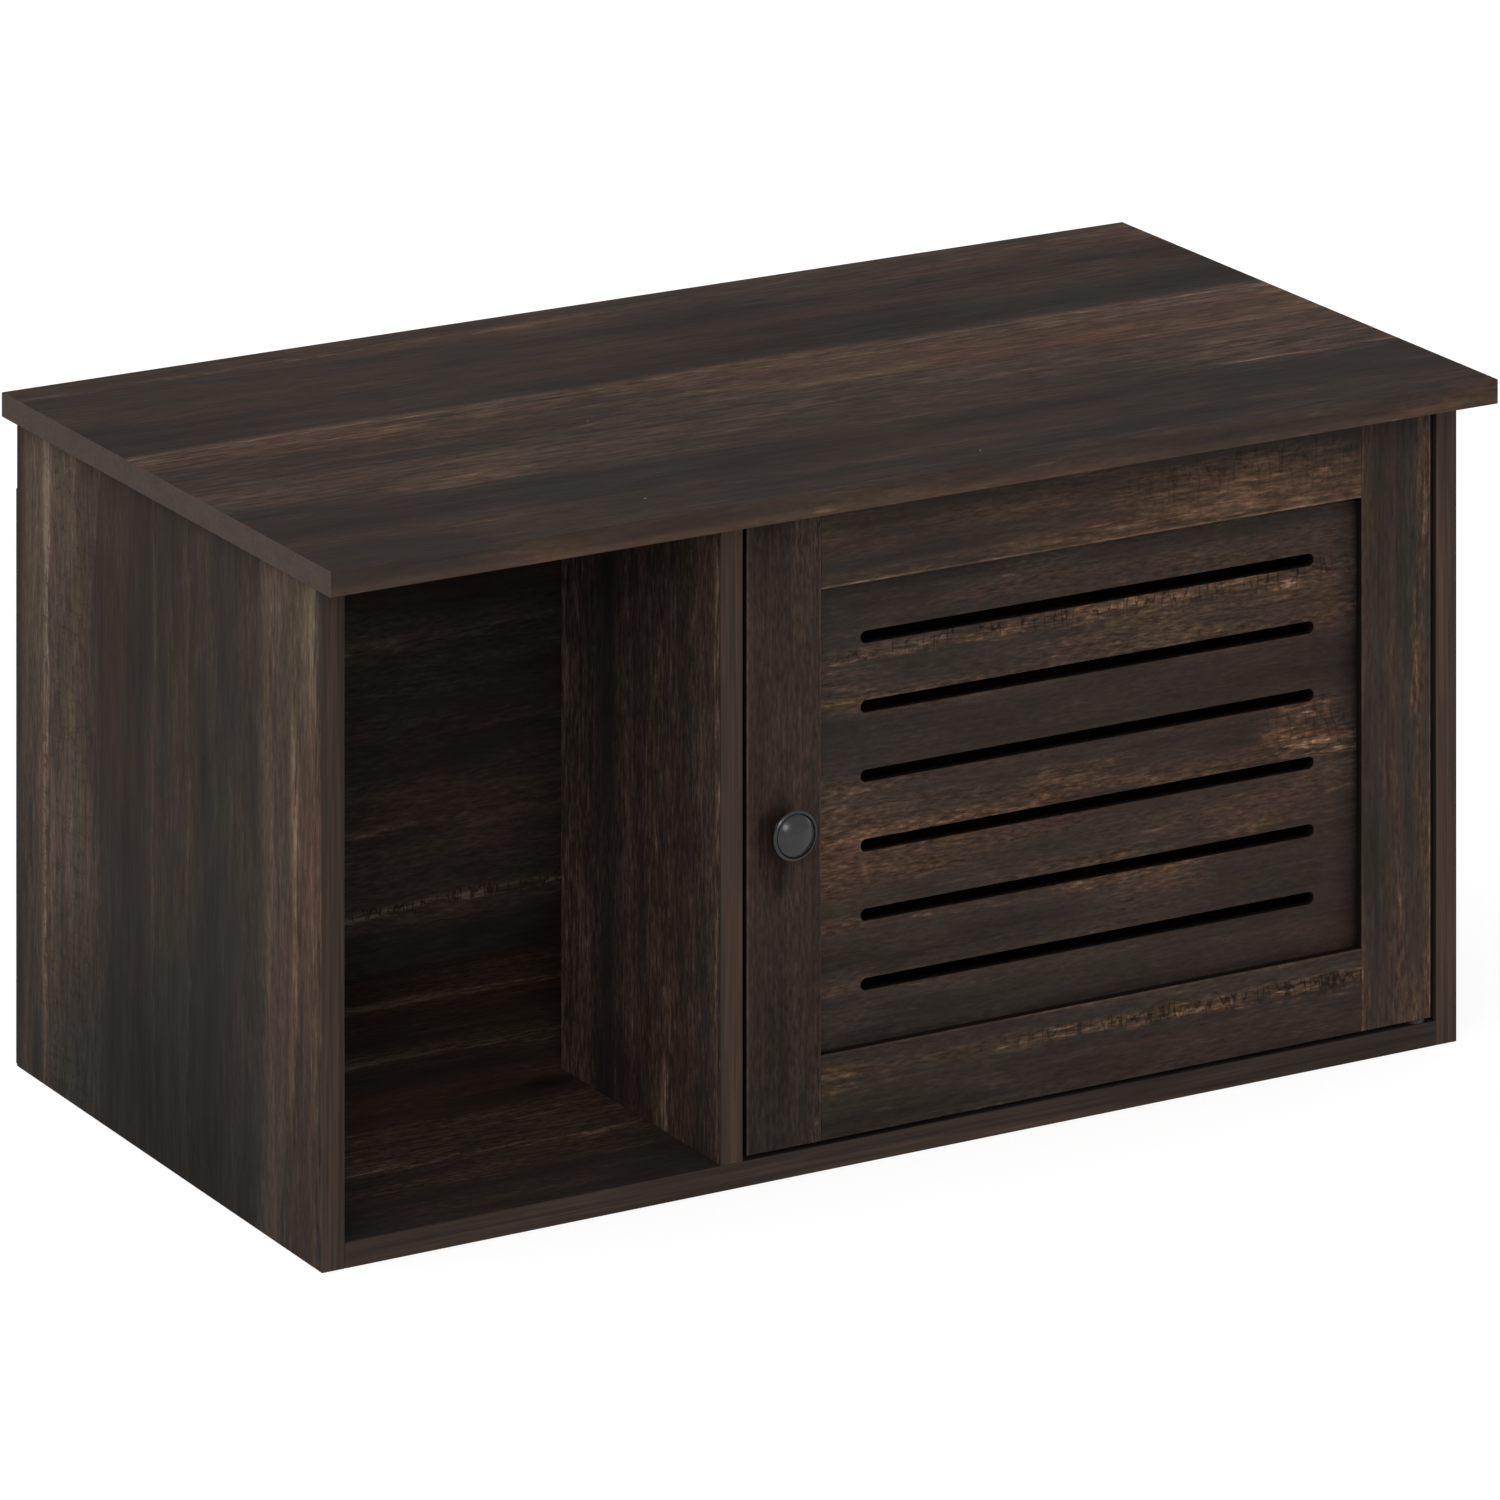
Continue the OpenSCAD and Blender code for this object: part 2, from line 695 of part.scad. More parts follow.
// Flat-head screw along local Z, flush with the strike plate at the origin; also the shape of its hole
module flat_screw_shape(play, past) {
    head_d = 1.9 * small_screw_d + 2 * play;
    land = 0.2;
    translate([0, 0, -past]) cylinder(d = head_d, h = land + past);
    translate([0, 0, land]) cylinder(d1 = head_d, d2 = small_screw_d + 2 * play, h = strike_t - 2 * land);
    cylinder(d = small_screw_d + 2 * play, h = small_screw_l);
}

module strike_screw() {
    color(zinc) translate([stile_mid, door_rear + strike_t, strike_mid_z]) rotate([90, 0, 0]) difference() {
        flat_screw_shape(0, 0);
        cross_recess(0.9 * small_screw_d, 0.7);
    }
}

// Half section of a cam bolt from the meeting face: thread, collar, shank, neck and head
module cam_bolt() {
    thread_r = cam_thread_d / 2;
    shank_r = bolt_shank_d / 2;
    head_r = bolt_head_d / 2;
    neck_r = shank_r - 1;
    collar_h = 1.6;
    rotate([0, 90, 0]) rotate_extrude() polygon([[0, -cam_thread_l], [thread_r - 0.8, -cam_thread_l],
        [thread_r, -cam_thread_l + 1.5], [thread_r, 0], [head_r, 0], [head_r, collar_h],
        [shank_r, collar_h], [shank_r, cam_reach - 6], [neck_r, cam_reach - 5],
        [neck_r, cam_reach - 2.5], [head_r, cam_reach - 1.5], [head_r, cam_reach + 1],
        [head_r - 0.9, cam_reach + bolt_past], [0, cam_reach + bolt_past]]);
}

// Cam disc from the meeting face of its board, with its slot for the bolt and its driver cross
module cam_disc() {
    translate([cam_reach, 0, board_t / 2 - cam_t]) difference() {
        cylinder(d = cam_d, h = cam_t);
        translate([0, 0, cam_t - board_t / 2])
            rod(bolt_head_d + 2 * disc_play, -cam_d, bolt_past + 3 * disc_play);
        translate([0, 0, cam_t]) mirror([0, 0, 1]) cross_recess(8, 2);
    }
}

module cam_bolts() {
    color(zinc) for (j = cams) at_joint(j[0], j[1], j[2]) cam_bolt();
}

module cam_discs() {
    color(zinc) for (j = cams) at_joint(j[0], j[1], j[2]) cam_disc();
}

// Dowel with tapered ends, from its end in the face of a board
module dowel() {
    r = dowel_d / 2;
    translate([-dowel_face_l, 0, 0]) rotate([0, 90, 0]) rotate_extrude()
        polygon([[0, 0], [r - 0.8, 0], [r, 1.2], [r, dowel_l - 1.2], [r - 0.8, dowel_l], [0, dowel_l]]);
}

module wooden_dowels() {
    color(beech) for (j = dowels) at_joint(j[0], j[1], square_to(j[1])) dowel();
}

module divider_screws() {
    color(zinc) for (p = long_screws) translate(p) difference() {
        long_screw_shape(0, 0);
        cylinder(d = 3, h = 2.2, $fn = 6);
    }
}

module back_panel_nails() {
    color(steel) at_nails() nail_shape(0, 0);
}

top_panel();
left_side_panel();
right_side_panel();
bottom_panel();
divider_panel();
rear_top_rail();
back_panel();
door_knob_stile();
door_hinge_stile();
door_top_rail();
door_bottom_rail();
door_slotted_panel();
door_knob();
knob_screw();
upper_pivot_pin();
lower_pivot_pin();
upper_pivot_bush();
lower_pivot_bush();
catch_housing();
catch_magnet();
catch_pole_plates();
catch_screws();
strike_plate();
strike_screw();
cam_discs();
cam_bolts();
wooden_dowels();
divider_screws();
back_panel_nails();
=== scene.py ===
import bpy
import math
from mathutils import Matrix, Vector


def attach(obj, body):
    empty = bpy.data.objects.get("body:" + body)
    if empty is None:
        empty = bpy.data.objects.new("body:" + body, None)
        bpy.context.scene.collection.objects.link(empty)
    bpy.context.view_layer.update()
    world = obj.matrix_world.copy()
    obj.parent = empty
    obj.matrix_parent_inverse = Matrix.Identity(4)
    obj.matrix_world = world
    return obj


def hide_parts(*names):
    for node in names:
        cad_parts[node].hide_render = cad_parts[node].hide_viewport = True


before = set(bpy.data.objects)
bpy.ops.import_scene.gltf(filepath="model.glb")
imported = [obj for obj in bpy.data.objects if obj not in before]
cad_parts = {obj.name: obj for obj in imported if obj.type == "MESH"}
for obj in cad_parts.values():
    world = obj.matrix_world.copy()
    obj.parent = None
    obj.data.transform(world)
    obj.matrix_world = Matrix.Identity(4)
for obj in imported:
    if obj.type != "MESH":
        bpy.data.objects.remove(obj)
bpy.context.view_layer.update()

bpy.ops.object.select_all(action="DESELECT")
mm = 0.001
white = (1, 1, 1, 1)
print("frame loaded,", len(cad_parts), "nodes")

# a view camera that looks down while its picture plane stays upright
view = {
    "eye": (-3.2358, -5.605, 2.213),
    "turn": 29.9954,           # degrees off the front
    "fall": 0.3107,            # drop of the line of sight for each metre ahead
    "lens": 249.56,
    "reach": 60,               # metres to the far end of the view
}


def placeCamera(c):
    turn = math.radians(c["turn"])
    right = Vector((math.cos(turn), -math.sin(turn), 0))
    back = Vector((-math.sin(turn), -math.cos(turn), c["fall"])).normalized()
    slant = Matrix((right, Vector((0, 0, 1)), back)).transposed().to_4x4()
    slant.translation = Vector(c["eye"])
    bpy.ops.object.empty_add()
    stand = bpy.context.object
    stand.name = "cameraStand"
    bpy.ops.object.camera_add(rotation=(0, 0, 0))
    camera = bpy.context.object
    camera.name = "pictureCamera"
    camera.parent = stand
    camera.matrix_parent_inverse = slant
    camera.data.lens = c["lens"]
    camera.data.clip_end = c["reach"]
    bpy.context.scene.camera = camera


placeCamera(view)
print("camera placed")

room = {
    "sky": 0.42,
    "skySeen": 0.6,            # more glow for the camera alone, so that the backdrop stays white
    # name, power, where it comes from, angle, mirrored in glossy pieces
    "suns": [
        ("softKey", 1.3, (-0.6, -0.1, 0.65), 80, False),
        ("softFill", 1.8, (0.4, -0.9, 0.02), 26, False),
        ("openFill", 0.2, (-0.47, -0.86, 0.25), 24, False),
        ("frontWindow", 0.36, (-0.41, -0.79, 0.46), 16, True),
        ("sideWindow", 0.3, (0.93, 0.2, 0.25), 35, True),
    ],
}


def glowForCamera(tree, socket, glow, more):
    ray = tree.nodes.new("ShaderNodeLightPath")
    strength = tree.nodes.new("ShaderNodeMath")
    strength.operation = "MULTIPLY_ADD"
    strength.inputs[1].default_value = more
    strength.inputs[2].default_value = glow
    tree.links.new(ray.outputs["Is Camera Ray"], strength.inputs[0])
    tree.links.new(strength.outputs[0], socket)


def lightRoom(r):
    scene = bpy.context.scene
    scene.view_settings.view_transform = "Standard"
    scene.world = bpy.data.worlds.new("softRoom")
    scene.world.use_nodes = True
    sky = scene.world.node_tree.nodes["Background"]
    sky.inputs["Color"].default_value = white
    glowForCamera(scene.world.node_tree, sky.inputs["Strength"], r["sky"], r["skySeen"])
    for name, power, comesFrom, angle, mirrored in r["suns"]:
        bpy.ops.object.light_add(type="SUN")
        sun = bpy.context.object
        sun.name = name
        sun.rotation_euler = Vector(comesFrom).to_track_quat("Z", "Y").to_euler()
        sun.data.energy = power
        sun.data.angle = math.radians(angle)
        sun.visible_glossy = mirrored


lightRoom(room)
print("light set")

# the floor lies a hair below the cabinet, and is see-through from below; its gap is in millimetres
paper = {"size": 60, "gap": 0.2, "tone": 0.32, "roughness": 0.9, "gloss": 0.1,
         "glow": 0.3, "glowSeen": 0.51}


def layPaper(p):
    bpy.ops.mesh.primitive_plane_add(size=p["size"], location=(0, 0, -p["gap"] * mm))
    floor = bpy.context.object
    floor.name = "paperFloor"
    material = bpy.data.materials.new("paper")
    material.use_nodes = True
    tree = material.node_tree
    shader = tree.nodes["Principled BSDF"]
    shader.inputs["Base Color"].default_value = (p["tone"], p["tone"], p["tone"], 1)
    shader.inputs["Roughness"].default_value = p["roughness"]
    shader.inputs["Specular IOR Level"].default_value = p["gloss"]
    shader.inputs["Emission Color"].default_value = white
    glowForCamera(tree, shader.inputs["Emission Strength"], p["glow"], p["glowSeen"])
    side = tree.nodes.new("ShaderNodeNewGeometry")
    clear = tree.nodes.new("ShaderNodeBsdfTransparent")
    oneSided = tree.nodes.new("ShaderNodeMixShader")
    tree.links.new(side.outputs["Backfacing"], oneSided.inputs[0])
    tree.links.new(shader.outputs[0], oneSided.inputs[1])
    tree.links.new(clear.outputs[0], oneSided.inputs[2])
    tree.links.new(oneSided.outputs[0], tree.nodes["Material Output"].inputs["Surface"])
    floor.data.materials.append(material)


layPaper(paper)
print("floor laid")


class Finish:                  # the nodes of one material, with short names
    def __init__(self, name):
        self.material = bpy.data.materials.new(name)
        self.material.use_nodes = True
        self.tree = self.material.node_tree
        self.shader = self.tree.nodes["Principled BSDF"]
        self.place = self.add("ShaderNodeTexCoord").outputs["Object"]

    def add(self, kind, inputs=None, **settings):
        node = self.tree.nodes.new(kind)
        for key, value in settings.items():
            setattr(node, key, value)
        for key, value in (inputs or {}).items():
            self.feed(node.inputs[key], value)
        return node

    def feed(self, socket, value):
        if isinstance(value, bpy.types.NodeSocket):
            self.tree.links.new(value, socket)
        else:
            socket.default_value = value

    def math(self, operation, a, b=0.0, c=0.0):
        return self.add("ShaderNodeMath", {0: a, 1: b, 2: c}, operation=operation).outputs[0]

    def distance(self, a, b):
        return self.math("ABSOLUTE", self.math("SUBTRACT", a, b))

    def step(self, value, low, high, toLow=0.0, toHigh=1.0):       # soft step from one value to another
        values = {"Value": value, "From Min": low, "From Max": high, "To Min": toLow, "To Max": toHigh}
        return self.add("ShaderNodeMapRange", values, interpolation_type="SMOOTHSTEP").outputs["Result"]

    def stretch(self, vector, scale, shift=(0, 0, 0)):
        return self.add("ShaderNodeMapping", {"Vector": vector, "Scale": scale, "Location": shift}).outputs[0]

    def noise(self, vector, scale, detail, rough=0.5):
        values = {"Vector": vector, "Scale": scale, "Detail": detail, "Roughness": rough}
        return self.add("ShaderNodeTexNoise", values).outputs["Fac"]

    def mix(self, share, a, b, how="MIX"):
        node = self.add("ShaderNodeMix", data_type="RGBA", blend_type=how)
        for socket, value in zip((node.inputs[0], node.inputs[6], node.inputs[7]), (share, a, b)):
            if isinstance(value, tuple) and len(value) == 3:
                value = (*value, 1)
            self.feed(socket, value)
        return node.outputs[2]

    def ramp(self, value, stops):
        node = self.add("ShaderNodeValToRGB", {"Fac": value})
        elements = node.color_ramp.elements
        while len(elements) < len(stops):
            elements.new(0.5)
        for element, (at, colour) in zip(elements, stops):
            element.position = at
            element.color = (*colour, 1)
        return node.outputs["Color"]

    def bump(self, height, strength, depth):
        node = self.add("ShaderNodeBump", {"Height": height, "Strength": strength, "Distance": depth})
        self.feed(self.shader.inputs["Normal"], node.outputs[0])


# wood print: lengths in millimetres, places on the board in the cabinet's own coordinates
woodPrint = {
    "stops": [(0.0, (0.011, 0.009, 0.008)), (0.35, (0.0295, 0.0243, 0.0213)),
              (0.5, (0.0445, 0.0335, 0.0272)), (0.65, (0.066, 0.0468, 0.0355)),
              (0.8, (0.1, 0.0705, 0.052)), (1.0, (0.19, 0.142, 0.108))],
    # cells for each metre along and across the board, detail, roughness, where the pattern starts
    "grains": {
        "cloud": (1.6, 15, 3.0, 0.6, 3.1),
        "stray": (4, 12, 1.0, 0.55, 0.0),
        "mottle": (28, 250, 5.0, 0.72, 5.7),
        "crumb": (120, 520, 2.0, 0.6, 14.1),
        "fibre": (9, 400, 3.0, 0.62, 8.3),
        "vein": (4, 85, 2.0, 0.6, 17.3),
        "blotch": (9, 38, 3.0, 0.6, 23.9),
        "flake": (32, 330, 2.0, 0.5, 21.3),
        "tint": (2.5, 9, 1.0, 0.55, 11.9),
        "hue": (14, 55, 2.0, 0.6, 27.1),
        "rib": (3, 60, 2.0, 0.55, 2.2),
    },
    "seedShift": (1.73, 2.39, 0.71),
    "wander": 18,                  # how far a streak strays from its line
    "ragged": 18,                  # how far its edge breaks up
    "broken": (0.15, 0.6, 0.3),    # span of mottle over which it fades and brightens, and by how much
    "vein": 0.22,
    "blotch": 0.45,
    "brown": (0.36, 0.56),         # from dull to brown wood
    "lively": (0.15, 0.4),         # fine grain on dull wood, and how much more on brown
    "flake": (0.13, 0.24, 0.34),   # short bright dashes: where they start and are full, and how bright
    "lace": (110, 35, 1.5),        # the net that cracks follow
    "crack": (0.03, 1.3),          # its width and depth
    "own": 0.35,                   # how much of the fine grain changes the hue too
    "depth": 1.75,                 # how much of it only lightens and darkens
    # which grain, where the tint starts and is full, and its colour: plum, olive, red, grey
    "tints": [("hue", 0.02, 0.2, (1.07, 0.96, 1.0)), ("hue", -0.02, -0.2, (1.0, 1.03, 0.9)),
              ("tint", 0.0, 0.22, (1.12, 0.97, 0.93)), ("tint", 0.0, -0.2, (0.96, 1.0, 1.03))],
    "toned": 0.5,                  # how much of the board's own tone dull wood takes
    "dust": {"scale": 38, "size": (0.035, 0.02), "share": (0.86, 0.9), "colour": (0.3, 0.27, 0.24)},
    "bandGrain": (0.7, 0.5),       # fibres and ribs of an edge band
    # how far off the edge each band starts and is full
    "endBand": {"from": 0.5, "full": 0.35, "grain": 0.3, "tone": (1.0, 1.07, 1.17)},
    "frontBand": {"from": 0.8, "full": 0.5, "tone": (1.07, 0.96, 0.88)},
    # near-black cut edges: a dark core, and painted shade where they face door gaps, slots and recesses
    "core": {"from": 0.4, "full": 0.7, "colour": (0.01, 0.0075, 0.006)},
    "roughness": (0.2, 0.6, 0.07),     # span of mottle, middle, swing
    "gloss": 0.05,
    "relief": (0.2, 0.0001),
}


def streakLight(f, u, v, bands, spots):    # what streaks and patches add, and where they are cracked
    light = 0.0
    cracked = 0.0
    for b in bands:
        band = f.step(f.distance(v, b["at"]), b["wide"], b.get("core", 0.0), 0.0, b["lift"])
        if "reach" in b:
            low, high = b["reach"]
            off = f.distance(u, (low + high) / 2)
            band = f.math("MULTIPLY", band, f.step(off, (high - low) / 2, (high - low) / 4))
        if "cracks" in b:
            cracked = f.math("MULTIPLY_ADD", band, b["cracks"], cracked)
        light = f.math("ADD", band, light)
    for s in spots:
        du = f.math("DIVIDE", f.math("SUBTRACT", u, s["at"][0]), s["size"][0])
        dv = f.math("DIVIDE", f.math("SUBTRACT", v, s["at"][1]), s["size"][1])
        away = f.math("ADD", f.math("MULTIPLY", du, du), f.math("MULTIPLY", dv, dv))
        spot = f.step(away, 1.0, 0.0, 0.0, s["lift"])
        if "cracks" in s:
            cracked = f.math("MULTIPLY_ADD", spot, s["cracks"], cracked)
        light = f.math("ADD", spot, light)
    return light, cracked


def laminate(name, along, across, seed, base=0.42, bands=(), spots=(), paintedHighlightLines=(), shades=(), ends=None,
             edge=None, core=None, contrast=0.75, fibres=0.2, crumbs=0.6, flaky=1.0, streaky=1.0,
             tone=(1.0, 0.97, 0.95)):
    f = Finish(name)
    w = woodPrint
    axes = "XYZ"
    split = f.add("ShaderNodeSeparateXYZ", {0: f.place}).outputs
    where = {a: f.math("MULTIPLY", split[axes.index(a)], 1 / mm) for a in axes}
    u, v, depth = where[along], where[across], where["Y"]
    shiftX, shiftY, shiftZ = (seed * share for share in w["seedShift"])

    grain = {}
    for kind, (longways, sideways, detail, rough, start) in w["grains"].items():
        scale = [longways if a == along else sideways for a in axes]
        moved = f.stretch(f.place, scale, (shiftX + start, shiftY, shiftZ - start))
        grain[kind] = f.math("SUBTRACT", f.noise(moved, 1.0, detail, rough), 0.5)
    mottle, fibre = grain["mottle"], grain["fibre"]

    # slow clouds, streaks and patches
    vLoose = f.math("MULTIPLY_ADD", grain["stray"], w["wander"], v)
    vLoose = f.math("MULTIPLY_ADD", mottle, w["ragged"], vLoose)
    value = f.math("MULTIPLY_ADD", grain["cloud"], contrast, base)
    light, cracked = streakLight(f, u, vLoose, bands, spots)
    if bands or spots:
        span, fade, gain = w["broken"]
        flaking = f.step(mottle, -span, span, 1 - fade * streaky, 1 + gain * streaky)
        light = f.math("MULTIPLY", light, flaking)
    value = f.math("ADD", light, f.math("MULTIPLY_ADD", grain["vein"], w["vein"], value))
    value = f.math("MULTIPLY_ADD", grain["blotch"], w["blotch"], value)

    # fine grain, livelier on brown wood
    brown = f.step(value, *w["brown"])
    dull, more = w["lively"]
    lively = f.math("MULTIPLY_ADD", brown, more * flaky, dull * flaky)
    fine = f.math("MULTIPLY", lively, f.math("MULTIPLY_ADD", grain["crumb"], crumbs, mottle))
    fine = f.math("MULTIPLY_ADD", fibre, fibres, fine)
    start, full, share = w["flake"]
    flake = f.step(grain["flake"], start, full)
    fine = f.math("MULTIPLY_ADD", flake, f.math("MULTIPLY", lively, share), fine)
    if cracked:
        longways, sideways, detail = w["lace"]
        thin, deep = w["crack"]
        scale = [longways if a == along else sideways for a in axes]
        lace = f.noise(f.stretch(f.place, scale, (seed, seed, seed)), 1.0, detail)
        crack = f.step(f.distance(lace, 0.5), thin, 0.0)
        fine = f.math("SUBTRACT", fine, f.math("MULTIPLY", crack, f.math("MULTIPLY", cracked, deep)))
    value = f.math("MULTIPLY_ADD", fine, w["own"], value)
    # painted highlights: crisp lighter lines along the board's lit edges
    for line in paintedHighlightLines:
        off = f.distance(v, line["at"])
        value = f.math("ADD", value, f.step(off, line["wide"], 0.0, 0.0, line["lift"]))
    for axis, start, end, lift in shades:
        value = f.math("ADD", value, f.step(where[axis], start, end, 0.0, lift))

    # colour, tints and dust
    colour = f.ramp(value, w["stops"])
    colour = f.mix(1.0, colour, f.math("EXPONENT", f.math("MULTIPLY", fine, w["depth"])), "MULTIPLY")
    for kind, start, full, tint in w["tints"]:
        colour = f.mix(f.step(grain[kind], start, full), colour, tint, "MULTIPLY")
    d = w["dust"]
    dust = f.add("ShaderNodeTexVoronoi", {"Vector": f.place, "Scale": d["scale"]}).outputs
    chance = f.add("ShaderNodeSeparateColor", {0: dust["Color"]}).outputs[0]
    speck = f.math("MULTIPLY", f.step(dust["Distance"], *d["size"]), f.step(chance, *d["share"]))
    colour = f.mix(speck, colour, d["colour"])
    colour = f.mix(f.math("MULTIPLY_ADD", brown, 1 - w["toned"], w["toned"]), colour, tone, "MULTIPLY")

    # edge bands, and near-black cut edges that are also painted shade in gaps, slots and recesses
    ofFibre, ofRib = w["bandGrain"]
    plain = f.math("MULTIPLY_ADD", fibre, ofFibre, f.math("MULTIPLY", grain["rib"], ofRib))
    if ends:
        e = w["endBand"]
        low, high, endTone = ends
        half = (high - low) / 2
        endFace = f.step(f.distance(u, (low + high) / 2), half - e["from"], half - e["full"])
        band = f.ramp(f.math("MULTIPLY_ADD", plain, e["grain"], endTone), w["stops"])
        colour = f.mix(endFace, colour, f.mix(1.0, band, e["tone"], "MULTIPLY"))
    if edge:
        e = w["frontBand"]
        place, frontTone = edge
        front = f.step(depth, place + e["from"], place + e["full"])
        band = f.ramp(f.math("ADD", plain, frontTone), w["stops"])
        colour = f.mix(front, colour, f.mix(1.0, band, e["tone"], "MULTIPLY"))
    # near-black cut edges: a dark core, and painted shade standing in for the shade in door gaps, slots and
    # frame recesses
    if core:
        c = w["core"]
        front, rear = core
        inside = f.math("MULTIPLY", f.step(depth, front + c["from"], front + c["full"]),
                        f.step(depth, rear - c["from"], rear - c["full"]))
        colour = f.mix(inside, colour, c["colour"])

    f.feed(f.shader.inputs["Base Color"], colour)
    span, middle, swing = w["roughness"]
    f.feed(f.shader.inputs["Roughness"], f.step(mottle, -span, span, middle + swing, middle - swing))
    f.shader.inputs["Specular IOR Level"].default_value = w["gloss"]
    f.bump(f.math("ADD", fibre, mottle), *w["relief"])
    return f.material


def dress(node, material):
    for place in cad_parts[node].material_slots:
        place.material = material


# what shows on each board, as places across it or (along, across) it, and how much lighter it is there
# a band fades over its width and may reach only so far, a painted highlight line is crisp along a lit edge, a
# shade runs along one axis
topPrint = {
    "along": "X", "across": "Y", "seed": 1.0, "base": 0.46, "tone": (1.04, 0.945, 0.885),
    "ends": (-430, 430, 0.7),
    "bands": [
        {"at": 205, "wide": 6, "lift": 0.22, "reach": (-520, 40)},
        {"at": 110, "wide": 95, "core": 40, "lift": -0.1},
        {"at": 48, "wide": 8, "core": 1, "lift": 0.2},
        {"at": 36, "wide": 20, "core": 6, "lift": 0.2},
        {"at": -25, "wide": 75, "core": 30, "lift": 0.1},
        {"at": -152, "wide": 38, "core": 16, "lift": -0.1},
        {"at": -200, "wide": 18, "lift": -0.07},
        {"at": -110, "wide": 4, "lift": 0.25, "reach": (250, 480)},
    ],
    "spots": [
        {"at": (-262, -96), "size": (75, 22), "lift": 0.22},
        {"at": (330, 170), "size": (260, 90), "lift": 0.12},
        {"at": (360, -90), "size": (140, 40), "lift": 0.2},
        {"at": (-370, 53), "size": (120, 11), "lift": -0.12},
        {"at": (-390, -215), "size": (110, 42), "lift": -0.1},
    ],
    "shades": [("Y", 120, 210, 0.09), ("Z", 433, 426, 0.14)],
}
dress("top_panel", laminate("topLaminate", **topPrint))

leftSidePrint = {
    "along": "Z", "across": "Y", "seed": 2.0, "base": 0.475, "tone": (0.945, 0.945, 0.92),
    "flaky": 0.7, "streaky": 0.25, "fibres": 0.08, "crumbs": 1.1,
    "ends": (0, 424, 0.42), "edge": (-200, 0.44),
    "bands": [
        {"at": 200, "wide": 32, "core": 12, "lift": 0.3},
        {"at": 187, "wide": 7, "lift": 0.22, "cracks": 0.5},
        {"at": 150, "wide": 45, "core": 20, "lift": 0.16, "cracks": 0.5},
        {"at": 75, "wide": 45, "core": 25, "lift": -0.1},
        {"at": 33, "wide": 4, "lift": 0.12},
        {"at": -18, "wide": 4, "lift": 0.12},
        {"at": -55, "wide": 45, "core": 20, "lift": -0.08},
        {"at": -158, "wide": 48, "core": 26, "lift": 0.3},
        {"at": -192, "wide": 14, "lift": 0.22},
        {"at": -163, "wide": 9, "lift": 0.25, "reach": (40, 400)},
    ],
    "spots": [{"at": (390, -92), "size": (110, 28), "lift": 0.1}],
    "paintedHighlightLines": [{"at": -199.6, "wide": 1.2, "lift": 0.2}],
    "shades": [("Z", 200, 0, -0.24), ("Z", 330, 420, 0.04)],
}
dress("left_side_panel", laminate("leftSideLaminate", **leftSidePrint))

rightSidePrint = {
    "along": "Z", "across": "Y", "seed": 3.0, "base": 0.44, "tone": (1.03, 0.97, 0.91),
    "ends": (0, 424, 0.42), "edge": (-200, 0.505),
}
dress("right_side_panel", laminate("rightSideLaminate", **rightSidePrint))

bottomPrint = {
    "along": "X", "across": "Y", "seed": 4.0, "base": 0.44, "tone": (0.98, 0.94, 0.91),
    "fibres": 0.12, "crumbs": 1.9, "edge": (-200, 0.39),
    "bands": [
        {"at": 170, "wide": 14, "lift": 0.14},
        {"at": 75, "wide": 7, "lift": 0.2},
        {"at": 35, "wide": 28, "core": 10, "lift": -0.1},
        {"at": -70, "wide": 48, "core": 34, "lift": 0.12},
        {"at": -101, "wide": 7, "lift": 0.22, "cracks": 0.8, "reach": (-420, -100)},
        {"at": -170, "wide": 36, "core": 26, "lift": -0.17},
    ],
    # painted shadow on the floor beside the divider's rear foot
    "spots": [{"at": (-157, -8), "size": (22, 14), "lift": -0.25}],
    # painted light: the floor grows lighter towards the back, where the lamps light it too little
    "shades": [("Y", -90, 60, 0.2)],
}
dress("bottom_panel", laminate("bottomLaminate", **bottomPrint))

dividerPrint = {
    "along": "Z", "across": "Y", "seed": 5.0, "base": 0.52, "tone": (0.98, 0.955, 1.0),
    "flaky": 1.3, "fibres": 0.1, "crumbs": 1.4, "edge": (-200, 0.485),
    "bands": [
        {"at": -14, "wide": 34, "lift": 0.16},
        # painted highlight: lighter towards the divider's rear edge
        {"at": 3, "wide": 8, "lift": 0.16},
        {"at": -52, "wide": 14, "lift": -0.16},
        {"at": -80, "wide": 10, "lift": 0.14, "reach": (100, 420)},
        {"at": -125, "wide": 30, "core": 10, "lift": 0.12},
        {"at": -170, "wide": 20, "lift": 0.06},
        {"at": -196, "wide": 4, "lift": 0.25},
    ],
    "spots": [
        {"at": (38, -127), "size": (34, 7), "lift": 0.3},
        {"at": (62, -140), "size": (30, 30), "lift": -0.14},
        {"at": (30, -70), "size": (50, 50), "lift": -0.22},
    ],
    "paintedHighlightLines": [{"at": 7.5, "wide": 2.2, "lift": 0.25}],
}
dress("divider_panel", laminate("dividerLaminate", **dividerPrint))

rearRailPrint = {"along": "X", "across": "Z", "seed": 6.0}
dress("rear_top_rail", laminate("rearRailLaminate", **rearRailPrint))

